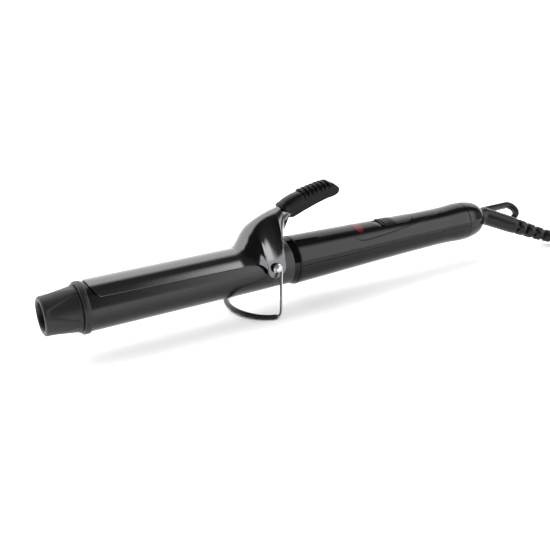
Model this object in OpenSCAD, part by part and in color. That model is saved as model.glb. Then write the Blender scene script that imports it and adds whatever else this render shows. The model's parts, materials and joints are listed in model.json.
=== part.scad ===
// Curling iron: a heated barrel with a sprung clamp, a wire stand and a swivel mains cord.
// +X runs along the iron from the cool tip to the cord, +Z is up, and the iron stands on Z = 0.

/* [Barrel and tip] */
// Diameter of the heated barrel
barrel_d = 32; // [30:0.5:34]
// Length of barrel between the end ring and the heat collar
barrel_len = 126.5; // [110:0.5:140]
// Length of the cool tip in front of the end ring
tip_len = 22.5; // [18:0.5:26]
// Diameter of the cool tip at its open end
tip_front_d = 24.8; // [22:0.2:27]
// Diameter of the hollow in the cool tip
tip_hollow_d = 18.2; // [14:0.2:19]

/* [Clamp] */
// Half of the angle that the spoon wraps round the barrel, at its tip
spoon_angle = 55; // [45:1:60]
// Thickness of the spoon sheet
sheet_t = 0.7; // [0.6:0.1:1.2]
// Width of the lever grip
grip_w = 13; // [11:0.5:15]
// Number of ribs on the lever grip
grip_ribs = 7; // [4:1:7]

/* [Handle] */
// Diameter of the handle behind its front ring
handle_front_d = 34.8; // [33:0.2:36]
// Diameter of the handle at its waist
handle_waist_d = 28.8; // [27:0.2:30]
// Diameter of the swelling at the handle's rear end
handle_bulge_d = 30.4; // [29:0.2:32]
// Thickness of the handle shells
wall = 2.6; // [2.4:0.1:3]

/* [Stand] */
// Height of the iron's axis above the table
axis_h = 27; // [25:0.5:30]
// Width across the stand's foot
stand_w = 65; // [58:1:70]
// Diameter of the stand wire
wire_d = 2; // [1.6:0.1:2.2]

/* [Cord] */
// Diameter of the mains cord
cord_d = 6; // [5.5:0.1:6.5]
// Angle between the boot and the handle
boot_bend = 33; // [20:1:38]
// How far the swivel is turned towards the front
boot_turn = 50; // [40:1:55]

/* [Hidden] */
$fn = 64;
gap = 0.3;

// Places along the iron, from the joint of barrel and handle at 0. The loop's end is the rearmost point.
barrel_r = barrel_d / 2;
barrel_wall = 1;
collar_front = -10;
collar_back = 7;
ring_back = 12;
ring_t = 4.5;
end_ring_back = collar_front - barrel_len;
end_ring_front = end_ring_back - ring_t;
tip_x = end_ring_front - tip_len;
cap_x = 171;
handle_end = 191.8;
loop_end = 236.5;
joint_x = -(tip_x + loop_end) / 2;
pivot = [-9.5, 4];

// Colours
black = [0.05, 0.05, 0.055];
gloss_black = [0.03, 0.03, 0.035];
grey_black = [0.14, 0.14, 0.145];
steel = [0.78, 0.78, 0.8];
brass = [0.78, 0.62, 0.3];

// ---- shared shapes ----

// Stand the iron's own axis at its height, with the joint of barrel and handle in its place
module on_axis() translate([joint_x, 0, axis_h]) children();

// Solid turned about the iron's axis from a list of [x, radius] along its outside
module turned(outline) {
    rotate([0, 90, 0]) rotate_extrude($fn = 96)
        polygon(concat([for (p = outline) [p[1], p[0]]],
                       [[0, outline[len(outline) - 1][0]], [0, outline[0][0]]]));
}

// Cylinder along X from x0 to x1
module rod_x(x0, x1, r, r_end = undef) {
    translate([x0, 0, 0]) rotate([0, 90, 0])
        cylinder(h = x1 - x0, r1 = r, r2 = is_undef(r_end) ? r : r_end, $fn = 96);
}

// Cylinder along Y through the given centre
module rod_y(y0, y1, r) {
    translate([0, y0, 0]) rotate([-90, 0, 0]) cylinder(h = y1 - y0, r = r);
}

// Tube along X
module tube_x(x0, x1, outer, inner) {
    difference() {
        rod_x(x0, x1, outer);
        rod_x(x0 - 1, x1 + 1, inner);
    }
}

module block(low, high) translate(low) cube(high - low);

// Both sides of the iron
module both_sides() {
    children();
    mirror([0, 1, 0]) children();
}

// Smooth curve through a list of points, n steps for each span
function catmull(a, b, c, d, t) =
    0.5 * (2 * b + (c - a) * t + (2 * a - 5 * b + 4 * c - d) * t * t + (3 * b - a - 3 * c + d) * t * t * t);
function smooth(keys, n) = concat(
    [for (i = [0:len(keys) - 2]) for (k = [0:n - 1])
        catmull(keys[max(i - 1, 0)], keys[i], keys[i + 1], keys[min(i + 2, len(keys) - 1)], k / n)],
    [keys[len(keys) - 1]]);

// Tube of round section swept along a path, its radius given for each point
function unit(v) = v / norm(v);
function heading(path, i) =
    unit(path[min(i + 1, len(path) - 1)] - path[max(i - 1, 0)]);
function side_of(d) = unit(cross(d, abs(d[2]) > 0.9 ? [1, 0, 0] : [0, 0, 1]));
function level(u, d) = unit(u - (u * d) * d);
// A side direction at each point of a path, carried along it without twist
function sides_along(path) =
    [for (i = 0, u = side_of(heading(path, 0)); i < len(path);
        i = i + 1, u = i < len(path) ? level(u, heading(path, i)) : u) u];
function ring_points(path, radii, sides) = let (us = sides_along(path))
    [for (i = [0:len(path) - 1]) let (d = heading(path, i), u = us[i], v = cross(u, d))
        for (k = [0:sides - 1]) let (a = 360 * k / sides) path[i] + radii[i] * (cos(a) * u + sin(a) * v)];
function ring_walls(n, sides, from = 0) = [for (i = [0:n - 2]) for (k = [0:sides - 1])
    let (m = (k + 1) % sides, a = from + i * sides)
        each [[a + k, a + sides + k, a + m], [a + m, a + sides + k, a + sides + m]]];
module swept(path, radii, sides) {
    n = len(path);
    front = [[for (k = [0:sides - 1]) k]];
    back = [[for (k = [sides - 1:-1:0]) (n - 1) * sides + k]];
    polyhedron(ring_points(path, radii, sides), concat(front, ring_walls(n, sides), back));
}
// Hollow tube swept along a path
module swept_pipe(path, outer, inner, sides) {
    n = len(path);
    m = n * sides;
    points = concat(ring_points(path, [for (p = path) outer], sides),
                    ring_points(path, [for (p = path) inner], sides));
    lining = [for (f = ring_walls(n, sides, m)) [f[2], f[1], f[0]]];
    ends = [for (k = [0:sides - 1]) let (j = (k + 1) % sides, e = m - sides)
        each [[k, j, m + k], [j, m + j, m + k], [e + k, e + m + k, e + j], [e + j, e + m + k, e + m + j]]];
    polyhedron(points, concat(ring_walls(n, sides), lining, ends));
}

// ---- barrel and tip ----

module barrel() {
    color(gloss_black) on_axis() difference() {
        tube_x(end_ring_back, collar_front, barrel_r, barrel_r - barrel_wall);
        // room for the pivot bosses
        both_sides() translate([pivot[0], 0, pivot[1]]) rod_y(barrel_r / 2, barrel_r * 2, boss_r + gap);
    }
}

tip_r = tip_front_d / 2;
hollow_r = tip_hollow_d / 2;
hollow_depth = 15.5;
tip_floor = 2.5;
spigot_r = 11.9;
module cool_tip() {
    floor_x = tip_x + hollow_depth;
    color(grey_black) on_axis() difference() {
        union() {
            turned([[tip_x, tip_r - 1], [tip_x + 0.3, tip_r - 0.3], [tip_x + 1, tip_r],
                    [end_ring_front - 1.6, barrel_r - 0.35], [end_ring_front, barrel_r - 0.6]]);
            rod_x(end_ring_front, end_ring_back + 8, spigot_r);
        }
        rod_x(tip_x - 1, floor_x, hollow_r);
        rod_x(floor_x + tip_floor, end_ring_back + 9, spigot_r - 2.4);
        rod_x(tip_x, 0, 1.6);
    }
}

module end_ring() {
    color(grey_black) on_axis() difference() {
        turned([[end_ring_front, barrel_r - 0.1], [end_ring_front + 0.5, barrel_r + 0.6],
                [end_ring_front + 1.2, barrel_r + 0.9], [end_ring_back - 0.8, barrel_r + 0.9],
                [end_ring_back, barrel_r + 0.4]]);
        rod_x(tip_x, 0, spigot_r + 0.05);
    }
}

insulator_back = end_ring_back + 16;
module tip_insulator() {
    color("ivory") on_axis() difference() {
        union() {
            tube_x(end_ring_back, insulator_back, barrel_r - barrel_wall - 0.1, spigot_r + 0.1);
            rod_x(end_ring_back + 10, insulator_back, spigot_r + 0.2);
            rod_x(tip_x + hollow_depth + tip_floor, insulator_back, 4);
        }
        rod_x(tip_x, insulator_back - 3, 1.3);
    }
}

module tip_screw() {
    head_x = tip_x + hollow_depth;
    color(steel) on_axis() difference() {
        union() {
            turned([[head_x - 2, 1.8], [head_x - 1.5, 2.6], [head_x, 2.8]]);
            rod_x(head_x, insulator_back - 4, 1.3);
        }
        for (a = [0, 90]) rotate([a, 0, 0]) block([head_x - 3, -0.4, -1.6], [head_x - 0.9, 0.4, 1.6]);
    }
}

// ---- heater, a sandwich between two half-round spreaders ----
heater_front = insulator_back + 4;
heater_len = 78;
stone_t = 2.4;
strip_t = 0.3;
spreader_z = stone_t / 2 + strip_t;

module heat_spreaders() {
    outer = barrel_r - barrel_wall - 0.1;
    skin = 1.4;
    end = heater_front + heater_len;
    color(steel) on_axis() for (side = [0, 180]) rotate([side, 0, 0]) difference() {
        intersection() {
            rod_x(heater_front, end, outer);
            block([heater_front - 1, -barrel_r, spreader_z], [end + 1, barrel_r, barrel_r]);
        }
        // two channels, with a rib between them
        for (s = [-1, 1]) intersection() {
            rod_x(heater_front - 1, end + 1, outer - skin);
            block([heater_front - 2, s > 0 ? 1.2 : -barrel_r, spreader_z + skin],
                  [end + 2, s > 0 ? barrel_r : -1.2, barrel_r]);
        }
    }
}

module heating_stones() {
    stones = 3;
    pitch = heater_len / stones;
    color("tan") on_axis() for (i = [0:stones - 1]) translate([heater_front + pitch * (i + 0.5), 0, 0])
        cube([pitch - 3, 11, stone_t], center = true);
}

strip_back = heater_front + heater_len + 6;
module electrodes() {
    color(brass) on_axis() for (side = [0, 180]) rotate([side, 0, 0])
        block([heater_front, -5, stone_t / 2], [strip_back, 5, spreader_z]);
}

lead_y = 4;
lead_r = 0.9;
module thermal_fuse() {
    color(steel) on_axis() translate([0, -lead_y, -spreader_z - 1.2]) {
        rod_x(strip_back + 1, strip_back + 11, 2);
        rod_x(strip_back - 5, strip_back + 1, 0.6);
    }
}

module temperature_sensor() {
    color("darkred") on_axis() translate([heater_front + heater_len, 0, 6]) {
        rod_x(0, 3, 1.4);
        for (y = [-0.7, 0.7]) translate([0, y, 0]) rod_x(3, 26, 0.3);
    }
}

terminal_x = 19;
module heater_leads() {
    color("white") on_axis() {
        translate([0, lead_y, spreader_z + lead_r]) rod_x(strip_back - 4, terminal_x, lead_r);
        translate([0, -lead_y, -spreader_z - 1.2]) rod_x(strip_back + 11, terminal_x, lead_r);
    }
}

// ---- heat collar and pivot ----
collar_r = barrel_r - 0.2;
collar_bore = 10;
boss_r = 4.6;
boss_y = 17.3;
rivet_r = 1.5;
screw_tilt = 31;

module heat_collar() {
    color(grey_black) on_axis() difference() {
        union() {
            rod_x(collar_front - 14, collar_back, barrel_r - barrel_wall - 0.1);
            rod_x(collar_front, collar_back, collar_r);
            rod_x(collar_back, collar_back + 16, handle_front_d / 2 - wall - 0.4);
            both_sides() translate([pivot[0], 0, pivot[1]]) {
                rod_y(collar_bore + 1, 15.9, boss_r);
                rod_y(15, boss_y, 2.6);
            }
        }
        rod_x(collar_front - 20, collar_back + 20, collar_bore);
        translate([pivot[0], 0, pivot[1]]) rod_y(-30, 30, rivet_r + 0.02);
        for (side = [-1, 1]) rotate([side * screw_tilt, 0, 0]) {
            translate([0.8, 0, collar_r - 2]) cylinder(h = 5, r = 1.9);
            translate([0.8, 0, collar_bore - 2]) cylinder(h = 9, r = 1.1);
        }
    }
}

module collar_screws() {
    color(steel) on_axis() for (side = [-1, 1]) rotate([side * screw_tilt, 0, 0]) translate([0.8, 0, 0])
        difference() {
            union() {
                translate([0, 0, collar_r - 2]) cylinder(h = 1.1, r1 = 1.8, r2 = 1.5);
                translate([0, 0, collar_bore + 0.6]) cylinder(h = 4, r = 1.1);
            }
            for (a = [0, 90]) rotate([0, 0, a])
                block([-0.25, -1, collar_r - 1.5], [0.25, 1, collar_r]);
        }
}

eye_y = 20.6;
module pivot_rivets() {
    color(steel) on_axis() both_sides() translate([pivot[0], 0, pivot[1]]) {
        rod_y(collar_bore + 2.5, eye_y + 1.3, rivet_r);
        translate([0, eye_y + 1.3, 0]) rotate([-90, 0, 0]) cylinder(h = 0.9, r1 = 2.3, r2 = 1.5);
    }
}

// ---- clamp ----
spoon_tip = -134.7;
spoon_edge = -128.5;
knee = -29.5;
spoon_r = barrel_r + gap + sheet_t / 2;
ear_r = 7;
ear_y = 18.9;

// The sheet is a row of arches. Each is [top x, top z, edge x, edge y, edge z, arc angle].
function spoon_row(x) =
    let (grow = spoon_angle + 6 * (x - spoon_edge) / (knee - spoon_edge),
         cut = max((spoon_edge - x) / (spoon_edge - spoon_tip), 0),
         a = max(grow * sqrt(max(1 - cut * cut, 0)), 8))
    [x, spoon_r, x, spoon_r * sin(a), spoon_r * cos(a), a];
function ear_row(top_x, top_z, a, arc) =
    [top_x, top_z, pivot[0] + ear_r * cos(a), ear_y, pivot[1] + ear_r * sin(a), arc];
spoon_rows = [for (x = [spoon_tip, -134.2, -133.2, -131.5, spoon_edge, -110, -80, -52, knee - 2]) spoon_row(x)];
neck_rows = [
    [knee + 0.8, 18.1, knee + 2.5, 14.9, 8.4, 62],
    [knee + 3.2, 21.6, knee + 6.5, 15.4, 8.3, 66],
    [-23.4, 26.2, -19.3, 16.8, 7.2, 74],
    ear_row(-20, 29.6, 178, 84),
    ear_row(-16.6, 32.1, 215, 88),
    ear_row(-12.6, 34.3, 262, 88),
    ear_row(-8.2, 36.1, 310, 88),
    ear_row(-4.6, 37.3, 355, 88),
    [-1.6, 38.2, -4.1, 17.8, 11.7, 86],
    [2, 39.2, -2.4, 14.4, 18.3, 84],
    [6, 40.4, 0.9, 10.3, 23.6, 82],
    [10.5, 41.7, 5.9, 7, 29.4, 82],
    [15, 43, 11.5, 5, 35, 82],
    [25, 45.4, 24.5, 4.6, 41, 82],
    [38, 47.6, 38, 4.4, 44, 82]
];
sheet_rows = concat(spoon_rows, smooth(concat([spoon_row(knee - 2)], neck_rows), 2));

// Point of the middle of the sheet: i along it, v from -1 at one edge to 1 at the other
function sheet_point(i, v) =
    let (r = sheet_rows[i], a = r[5] * abs(v), w = (1 - cos(a)) / (1 - cos(r[5])))
    [r[0] + (r[2] - r[0]) * w, sign(v) * r[3] * sin(a) / sin(r[5]), r[1] + (r[4] - r[1]) * w];
sheet_steps = 16;
sheet_last = len(sheet_rows) - 1;
function sheet_normal(i, k) =
    let (v = -1 + 2 * k / sheet_steps, dv = 1 / sheet_steps,
         along = sheet_point(min(i + 1, sheet_last), v) - sheet_point(max(i - 1, 0), v),
         across = sheet_point(i, min(v + dv, 1)) - sheet_point(i, max(v - dv, -1)))
    unit(cross(along, across));
function sheet_side(offset) = [for (i = [0:sheet_last]) for (k = [0:sheet_steps])
    sheet_point(i, -1 + 2 * k / sheet_steps) + offset * sheet_normal(i, k)];

module sheet() {
    w = sheet_steps + 1;
    n = (sheet_last + 1) * w;
    points = concat(sheet_side(-sheet_t / 2), sheet_side(sheet_t / 2));
    top = [for (i = [0:sheet_last - 1]) for (k = [0:sheet_steps - 1]) let (a = i * w + k)
        each [[a, a + 1, a + w + 1], [a, a + w + 1, a + w]]];
    bottom = [for (f = top) [f[2] + n, f[1] + n, f[0] + n]];
    long_edges = [for (i = [0:sheet_last - 1]) each [
        [i * w, (i + 1) * w, (i + 1) * w + n], [i * w, (i + 1) * w + n, i * w + n],
        [i * w + w - 1, i * w + w - 1 + n, (i + 1) * w + w - 1 + n],
        [i * w + w - 1, (i + 1) * w + w - 1 + n, (i + 1) * w + w - 1]]];
    last = sheet_last * w;
    end_edges = [for (k = [0:sheet_steps - 1]) each [
        [k, k + n, k + 1 + n], [k, k + 1 + n, k + 1],
        [last + k, last + k + 1 + n, last + k + n], [last + k, last + k + 1, last + k + 1 + n]]];
    polyhedron(points, concat(top, bottom, long_edges, end_edges));
}

module clamp_spoon() {
    color(gloss_black) on_axis() difference() {
        sheet();
        translate([pivot[0], 0, pivot[1]]) rod_y(-30, 30, rivet_r + 0.08);
    }
}

// Side outline of the grip, as [x, z]: the nose, the top, the end and the underside
grip_keys = [[10, 33], [6.6, 37.2], [4, 41], [5.4, 42.6], [9, 44.3], [13.5, 46.3], [19.5, 48], [30, 50.2], [41, 52],
             [46.5, 51.6], [50.2, 49.4], [51.8, 46.5], [51.9, 43.6], [50.3, 41.6], [47, 41.6], [42, 40.6],
             [37, 39.3], [32, 37.9], [27, 36.2], [22, 34.6], [17, 32.8], [12.5, 31.5]];
rib_from = 22.5;
rib_pitch = 3.3;

module lever_grip() {
    color(black) on_axis() difference() {
        union() {
            rotate([90, 0, 0]) linear_extrude(height = grip_w, center = true) polygon(grip_keys);
            for (i = [0:grip_ribs - 1]) let (x = rib_from + rib_pitch * i, z = 48.5 + 0.175 * rib_pitch * i)
                translate([x, 0, z]) rotate([0, -10, 0])
                    translate([-0.8, -grip_w / 2 + 0.8, -1]) cube([1.6, grip_w - 1.6, 2.7]);
        }
        // slot that the lever's tongue fills
        rotate([90, 0, 0]) linear_extrude(height = 11.4, center = true)
            polygon([[3, 30], [3, 40.6], [10, 42.8], [25, 46.7], [39, 49], [39, 45.6], [26, 43], [15, 39.6],
                     [11, 36]]);
    }
}

spring_r = 3.6;
spring_wire = 0.35;
module clamp_springs() {
    turns = 1.5;
    y0 = 16.3;
    pitch = 0.8;
    color(steel) on_axis() both_sides() translate([pivot[0], 0, pivot[1]]) {
        coil = [for (i = [0:12 * turns]) let (a = 90 - 30 * i)
            [spring_r * cos(a), y0 + pitch * i / 12, spring_r * sin(a)]];
        path = concat([[-4.6, y0, spring_r]], coil, [[-5, y0 + pitch * turns, -spring_r]]);
        swept(path, [for (p = path) spring_wire], 6);
    }
}

// ---- stand ----
wire_r = wire_d / 2;
sleeve_r = 1.6;
foot_z = sleeve_r - axis_h;
foot_x = -14.5;
foot_reach = 20.6;
eye_r = rivet_r + 0.08 + wire_r;
foot_y = stand_w / 2 - sleeve_r;
leg_top = [pivot[0] + eye_r * cos(15), eye_y, pivot[1] - eye_r * sin(15)];
leg_foot = [foot_x, foot_y, foot_z];
foot_curve = [for (a = [82.5:-7.5:-82.5]) [foot_x - foot_reach * cos(a), foot_y * sin(a), foot_z]];
// Half of the wire: the open eye round the rivet, the leg, and the bend at its foot
eye_curve = [for (a = [235:-15:0])
    [pivot[0] + eye_r * cos(a), eye_y, pivot[1] + eye_r * sin(a)]];
leg_turn = leg_foot + 4 * unit(leg_top - leg_foot);
foot_turn = foot_curve[0];
corner_curve = [for (t = [0:0.2:0.8]) pow(1 - t, 2) * leg_turn + 2 * t * (1 - t) * leg_foot + t * t * foot_turn];
half_wire = concat(eye_curve, [leg_top], corner_curve);
other_half = [for (i = [len(half_wire) - 1:-1:0]) [half_wire[i][0], -half_wire[i][1], half_wire[i][2]]];
wire_path = concat(half_wire, foot_curve, other_half);

module stand_wire() {
    color(steel) on_axis() swept(wire_path, [for (p = wire_path) wire_r], 12);
}

module stand_sleeve() {
    color(black) on_axis() swept_pipe(foot_curve, sleeve_r, wire_r + 0.06, 12);
}

// ---- handle ----
front_r = handle_front_d / 2;
waist_r = handle_waist_d / 2;
bulge_r = handle_bulge_d / 2;
handle_keys = [[ring_back, front_r], [40, 16.7], [80, 15.6], [118, 14.75], [148, waist_r], [160, 14.8],
               [166, bulge_r - 0.05], [cap_x, bulge_r]];
cap_keys = [[cap_x, bulge_r], [176, 14.95], [180, 14.4], [183.5, 13.7], [186, 12.8], [188, 11.7], [190, 10.2],
            [191.2, 8.9], [handle_end, 8]];
handle_line = smooth(handle_keys, 4);
function sunk(line, depth) = [for (p = line) [p[0], p[1] - depth]];
function handle_r(x) = lookup(x, handle_line);

module handle_ring() {
    color(gloss_black) on_axis() difference() {
        turned([[collar_back, barrel_r - 0.1], [collar_back + 3.6, front_r - 0.25], [ring_back, front_r]]);
        rod_x(0, ring_back + 1, front_r - wall - 0.38);
    }
}

// Plan of the control panel: wide behind its rounded front, then narrowing to a point at the rear
panel_front = 59;
panel_back = 151;
panel_side = smooth([[panel_front, 0], [59.3, 7], [60.4, 11.2], [63.5, 13.5], [74, 13.6], [97, 12.2],
                     [118, 10.2], [137, 7.8], [146, 5.6], [panel_back, 0]], 4);
module panel_plan(inset = 0) {
    mid = (panel_front + panel_back) / 2;
    kx = 1 - 2 * inset / (panel_back - panel_front);
    ky = 1 - inset / 13.5;
    polygon(concat([for (p = panel_side) [mid + (p[0] - mid) * kx, p[1] * ky]],
                   [for (i = [len(panel_side) - 2:-1:1])
                       [mid + (panel_side[i][0] - mid) * kx, -panel_side[i][1] * ky]]));
}
module panel_prism(inset = 0) translate([0, 0, 3]) linear_extrude(height = 20) panel_plan(inset);

panel_t = 2;
post_x = [32, 144.5];

// Handle solid shrunk by depth, over its whole length
module handle_solid(depth) turned(sunk(handle_line, depth));

module handle_half(top) {
    intersection() {
        difference() {
            handle_solid(0);
            handle_solid(wall);
            rod_x(0, ring_back + 9, front_r - wall - 0.38);
        }
        block([ring_back - 1, -30, top ? 0 : -30], [cap_x + 1, 30, top ? 30 : 0]);
    }
}

module handle_upper() {
    color(gloss_black) on_axis() {
        difference() {
            handle_half(true);
            difference() {
                panel_prism(-0.3);
                handle_solid(panel_t + 0.05);
            }
            panel_prism(3);
        }
        // posts that take the shell screws
        for (x = post_x) translate([x, 0, 0.1]) difference() {
            cylinder(h = handle_r(x) - wall + 0.1, r = 3);
            translate([0, 0, -1]) cylinder(h = 8, r = 1.25);
        }
    }
}

module handle_lower() {
    board_posts = [board_screw_x[0], board_screw_x[1]];
    color(gloss_black) on_axis() difference() {
        union() {
            handle_half(false);
            for (x = post_x) translate([x, 0, -handle_r(x) + 1.5]) cylinder(h = handle_r(x) - 1.6, r = 3.6);
            for (x = board_posts) translate([x, 0, -handle_r(x) + 1.5])
                cylinder(h = handle_r(x) - 1.5 + board_z, r = 2.6);
        }
        for (x = post_x) translate([x, 0, 0]) {
            translate([0, 0, -30]) cylinder(h = 30 - handle_r(x) + 6, r = 2.8);
            translate([0, 0, -30]) cylinder(h = 31, r = 1.6);
        }
        for (x = board_posts) translate([x, 0, board_z - 5]) cylinder(h = 6, r = 1.1);
    }
}

module shell_screws() {
    color(steel) on_axis() for (x = post_x) translate([x, 0, 0]) difference() {
        union() {
            translate([0, 0, -handle_r(x) + 4.2]) cylinder(h = 1.8, r1 = 2.2, r2 = 2.6);
            translate([0, 0, -handle_r(x) + 6]) cylinder(h = handle_r(x), r = 1.25);
        }
        for (a = [0, 90]) rotate([0, 0, a])
            block([-0.4, -1.5, -handle_r(x) + 3], [0.4, 1.5, -handle_r(x) + 5]);
    }
}

// Plan with round ends: from x0 to x1, half as wide as w, with its corner radii
module slot_plan(x0, x1, w, front_r, back_r) {
    polygon([
        for (a = [180:15:270]) [x0 + front_r + front_r * cos(a), -w + front_r + front_r * sin(a)],
        for (a = [270:15:360]) [x1 - back_r + back_r * cos(a), -w + back_r + back_r * sin(a)],
        for (a = [0:15:90]) [x1 - back_r + back_r * cos(a), w - back_r + back_r * sin(a)],
        for (a = [90:15:180]) [x0 + front_r + front_r * cos(a), w - front_r + front_r * sin(a)]
    ]);
}

lens_x = [64.4, 71.4];
lens_w = 9.6;
recess_x = [84, 119.4];
recess_w = 8.5;
recess_depth = 1.4;
slider_x = [90, 119];
slider_travel = 5.5;
stem_x = 100;
module recess_plan(shrink = 0)
    slot_plan(recess_x[0] + shrink, recess_x[1] - shrink, recess_w - shrink, 3, 7);

module control_panel() {
    color(gloss_black) on_axis() difference() {
        intersection() {
            difference() {
                handle_solid(0);
                handle_solid(panel_t);
            }
            panel_prism();
        }
        translate([0, 0, 3]) linear_extrude(height = 20)
            slot_plan(lens_x[0] - 0.2, lens_x[1] + 0.2, lens_w + 0.2, 3.4, 3.4);
        difference() {
            translate([0, 0, 3]) linear_extrude(height = 20) recess_plan();
            handle_solid(recess_depth);
        }
        block([stem_x - 2.2 - slider_travel, -2, 3], [stem_x + 2.2, 2, 20]);
    }
}

module lamp_lens() {
    color([0.6, 0.05, 0.06]) on_axis() intersection() {
        difference() {
            handle_solid(-0.1);
            handle_solid(panel_t);
        }
        translate([0, 0, 3]) linear_extrude(height = 20) slot_plan(lens_x[0], lens_x[1], lens_w, 3.3, 3.3);
    }
}

module power_slider() {
    ribs = 4;
    color(black) on_axis() {
        difference() {
            intersection() {
                difference() {
                    handle_solid(-0.1);
                    handle_solid(recess_depth - 0.45);
                }
                translate([0, 0, 3]) linear_extrude(height = 20)
                    slot_plan(slider_x[0], slider_x[1], recess_w - 0.3, 2.7, 6.7);
            }
            // sunken front where the ribs stand
            difference() {
                block([slider_x[0] - 1, -20, 3], [slider_x[0] + 11.2, 20, 25]);
                handle_solid(0.5);
            }
        }
        intersection() {
            difference() {
                handle_solid(-0.4);
                handle_solid(0.7);
            }
            for (i = [0:ribs - 1]) translate([slider_x[0] + 1.8 + 2.5 * i, -recess_w + 1.3, 3])
                cube([1.1, 2 * recess_w - 2.6, 20]);
        }
        // stem down to the switch
        block([stem_x - 2, -1.8, switch_top - 2.5], [stem_x + 2, 1.8, handle_r(stem_x) - recess_depth + 1]);
    }
}

// ---- electrics ----
board_z = -3.2;
board_t = 1.6;
board_x = [60, 138];
board_screw_x = [82, 132];
board_top = board_z + board_t;
switch_top = 9.6;

module indicator_lamp() {
    x = (lens_x[0] + lens_x[1]) / 2;
    color("orangered") on_axis() translate([x, 0, board_top]) {
        cylinder(h = 9, r = 1.6);
        translate([0, 0, 9]) cylinder(h = 1.2, r = 2.9);
        translate([0, 0, 10.2]) cylinder(h = 2.4, r = 2.5);
    }
}

module switch_body() {
    color("dimgray") on_axis() difference() {
        block([stem_x - 13, -5, board_top], [stem_x + 11, 5, switch_top]);
        block([stem_x - 2.3 - slider_travel, -2, switch_top - 3], [stem_x + 2.3, 2, switch_top + 1]);
    }
}

module circuit_board() {
    color("darkgreen") on_axis() difference() {
        block([board_x[0], -9, board_z], [board_x[1], 9, board_top]);
        for (x = board_screw_x) translate([x, 0, board_z - 1]) cylinder(h = 4, r = 1.3);
    }
}

module board_screws() {
    color(steel) on_axis() for (x = board_screw_x) translate([x, 0, 0]) {
        translate([0, 0, board_top]) cylinder(h = 1.2, r1 = 2.2, r2 = 1.8);
        translate([0, 0, board_z - 4.5]) cylinder(h = 4.5 + board_t, r = 1.1);
    }
}

module terminal_block() {
    color("seagreen") on_axis() {
        block([terminal_x, -7, -5], [terminal_x + 7, -1.5, 5]);
        block([terminal_x, 1.5, -5], [terminal_x + 7, 7, 5]);
        block([terminal_x + 1, -1.5, -5], [terminal_x + 3.5, 1.5, -1]);
    }
}

module power_component() {
    color("dimgray") on_axis() {
        translate([120, 0, board_top]) cylinder(h = 9, r = 4);
        block([73, 1, board_top], [78, 8, board_top + 6]);
    }
}

// ---- rear cap and swivel ----
core_r = 4;
flange_x = [183, 185.4];
cap_lip_r = 7.3;

module rear_cap() {
    color(gloss_black) on_axis() difference() {
        turned(smooth(cap_keys, 3));
        rod_x(cap_x - 1, flange_x[1] + gap, 9.2);
        rod_x(cap_x - 1, flange_x[0] - gap, 11);
        rod_x(cap_x, handle_end + 1, cap_lip_r);
    }
}

module swivel_bush() {
    color("ivory") on_axis() difference() {
        union() {
            rod_x(cap_x - 6, flange_x[0] - gap, 10.95);
            rod_x(cap_x - 9, cap_x, 8);
        }
        rod_x(cap_x - 10, cap_x + 15, core_r + 0.08);
    }
}

ring_x = [150.5, 156];
module contact_springs() {
    color(brass) on_axis() for (i = [0, 1]) rotate([180 * i, 0, 0])
        block([board_x[1] + 1, 5.5, -1.4], [ring_x[i] + 3.6, 5.9, 1.4]);
}

module swivel_core() {
    color("dimgray") on_axis() difference() {
        union() {
            rod_x(150, flange_x[0], core_r);
            rod_x(flange_x[0], flange_x[1], 7.9);
            rod_x(flange_x[1], 191, 3.9);
        }
        rod_x(140, 200, 1.8);
    }
}

module contact_rings() {
    color(brass) on_axis() for (x = ring_x) tube_x(x, x + 3.4, 5.2, core_r);
}

// Put a shape drawn with its bend downwards in the swivel's own plane
module turned_swivel() rotate([-boot_turn, 0, 0]) children();
boot_x = 198.8;
boot_len = 29.7;
boot_r = [7, 6.6];
boot_end = [boot_x + boot_len * cos(boot_bend), 0, -boot_len * sin(boot_bend)];
strap_w = 4;
strap_t = 4.6;
loop_r = 8.3;
strap_top = 7.2;

// Side outline of the hang loop: straight on from the handle, then turned down to the boot's end
loop_mid = [loop_end - loop_r, strap_top - loop_r];
loop_turn = 60;
loop_tail = 4 * [-sin(loop_turn), -cos(loop_turn)];
function loop_arc(r, angles) = [for (a = angles) loop_mid + r * [cos(a), sin(a)]];
loop_steps = (90 + loop_turn) / 10;
loop_outline = concat(
    [[boot_x + 1, strap_top]],
    loop_arc(loop_r, [for (i = [0:10]) 90 - loop_steps * i]),
    [loop_arc(loop_r, [-loop_turn])[0] + loop_tail, loop_arc(loop_r - strap_t, [-loop_turn])[0] + loop_tail],
    loop_arc(loop_r - strap_t, [for (i = [0:10]) loop_steps * i - loop_turn]),
    [[boot_x + 1, strap_top - strap_t]]);

module swivel_boot() {
    color(black) on_axis() turned_swivel() difference() {
        union() {
            rod_x(flange_x[1], boot_x, boot_r[0]);
            translate([boot_x, 0, 0]) sphere(r = boot_r[0] + 0.2);
            translate([boot_x, 0, 0]) rotate([0, boot_bend, 0]) rod_x(0, boot_len, boot_r[0], boot_r[1]);
            rotate([90, 0, 0]) linear_extrude(height = strap_w, center = true) polygon(loop_outline);
        }
        rod_x(flange_x[1] - 1, 191, 3.95);
    }
}

// ---- strain relief and cord ----

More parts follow.
